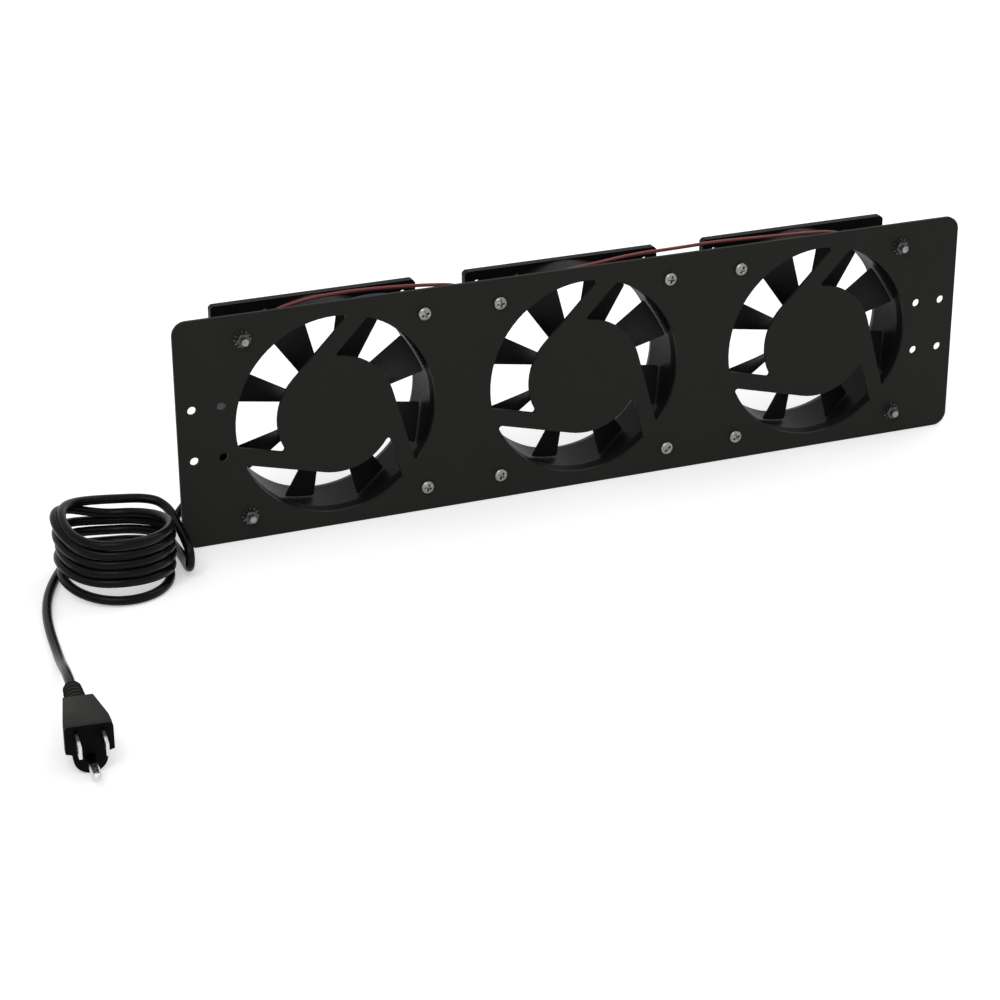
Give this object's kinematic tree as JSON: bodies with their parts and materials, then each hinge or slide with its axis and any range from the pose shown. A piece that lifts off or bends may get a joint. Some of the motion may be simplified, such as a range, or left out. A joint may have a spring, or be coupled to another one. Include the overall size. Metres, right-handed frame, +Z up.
{
  "type": "rack fan tray",
  "caption": "Flat rack panel with axial fans behind spoked finger guards, linked fan leads, and a coiled mains cord with a moulded plug.",
  "frame": {"origin": "centre of the rack hole pattern on the panel's rear face, which seats on the rack rails", "axes": "+X to the right seen from the front, along the panel; +Y to the rear, along the fan shafts; +Z up"},
  "size_m": [0.6003, 0.2902, 0.1334],
  "materials": {
    "panel_paint": "fine textured black powder coat on steel",
    "frame_paint": "satin black paint on die-cast aluminium",
    "impeller_black": "black moulded plastic",
    "rotor_steel": "black-coated deep-drawn steel",
    "shaft_steel": "ground steel",
    "core_steel": "stacked laminations",
    "winding_copper": "enamelled copper wire",
    "terminal_plastic": "black moulded plastic",
    "zinc_plate": "bright zinc-plated steel",
    "dark_washer": "dark oxide spring steel",
    "red_insulation": "smooth red wire insulation",
    "blue_insulation": "smooth blue wire insulation",
    "clip_plastic": "black nylon",
    "cord_jacket": "smooth black cord jacket",
    "plug_plastic": "moulded black vinyl",
    "plug_metal": "bright nickel-plated brass"
  },
  "bodies": {
    "tray": {"panel": "panel_paint", "fan_frame_left": "frame_paint", "bearings_left": "shaft_steel", "stator_core_left": "core_steel", "stator_windings_left": "winding_copper", "terminal_block_left": "terminal_plastic", "fan_frame_middle": "frame_paint", "bearings_middle": "shaft_steel", "stator_core_middle": "core_steel", "stator_windings_middle": "winding_copper", "terminal_block_middle": "terminal_plastic", "fan_frame_right": "frame_paint", "bearings_right": "shaft_steel", "stator_core_right": "core_steel", "stator_windings_right": "winding_copper", "terminal_block_right": "terminal_plastic", "fan_screws": "zinc_plate", "fan_nuts": "zinc_plate", "corner_screws": "zinc_plate", "corner_nuts": "zinc_plate", "lock_washers": "dark_washer", "lead_red_mains": "red_insulation", "lead_red_left": "red_insulation", "lead_red_right": "red_insulation", "lead_blue_mains": "blue_insulation", "lead_blue_left": "blue_insulation", "lead_blue_right": "blue_insulation", "cable_clip": "clip_plastic", "cord_head": "cord_jacket", "cord_coil": "cord_jacket", "cord_tail": "cord_jacket", "plug_body": "plug_plastic", "plug_blades": "plug_metal", "plug_ground_pin": "plug_metal"},
    "rotor_left": {"impeller_left": "impeller_black", "rotor_cup_left": "rotor_steel", "rotor_shaft_left": "shaft_steel"},
    "rotor_middle": {"impeller_middle": "impeller_black", "rotor_cup_middle": "rotor_steel", "rotor_shaft_middle": "shaft_steel"},
    "rotor_right": {"impeller_right": "impeller_black", "rotor_cup_right": "rotor_steel", "rotor_shaft_right": "shaft_steel"}
  },
  "joints": [
    {"name": "rotor_spin_left", "type": "hinge", "parent": "tray", "child": "rotor_left", "pos_m": [-0.15, 0.019, 0], "axis": [0, 1, 0], "continuous": true},
    {"name": "rotor_spin_middle", "type": "hinge", "parent": "tray", "child": "rotor_middle", "pos_m": [0, 0.019, 0], "axis": [0, 1, 0], "continuous": true},
    {"name": "rotor_spin_right", "type": "hinge", "parent": "tray", "child": "rotor_right", "pos_m": [0.15, 0.019, 0], "axis": [0, 1, 0], "continuous": true}
  ]
}
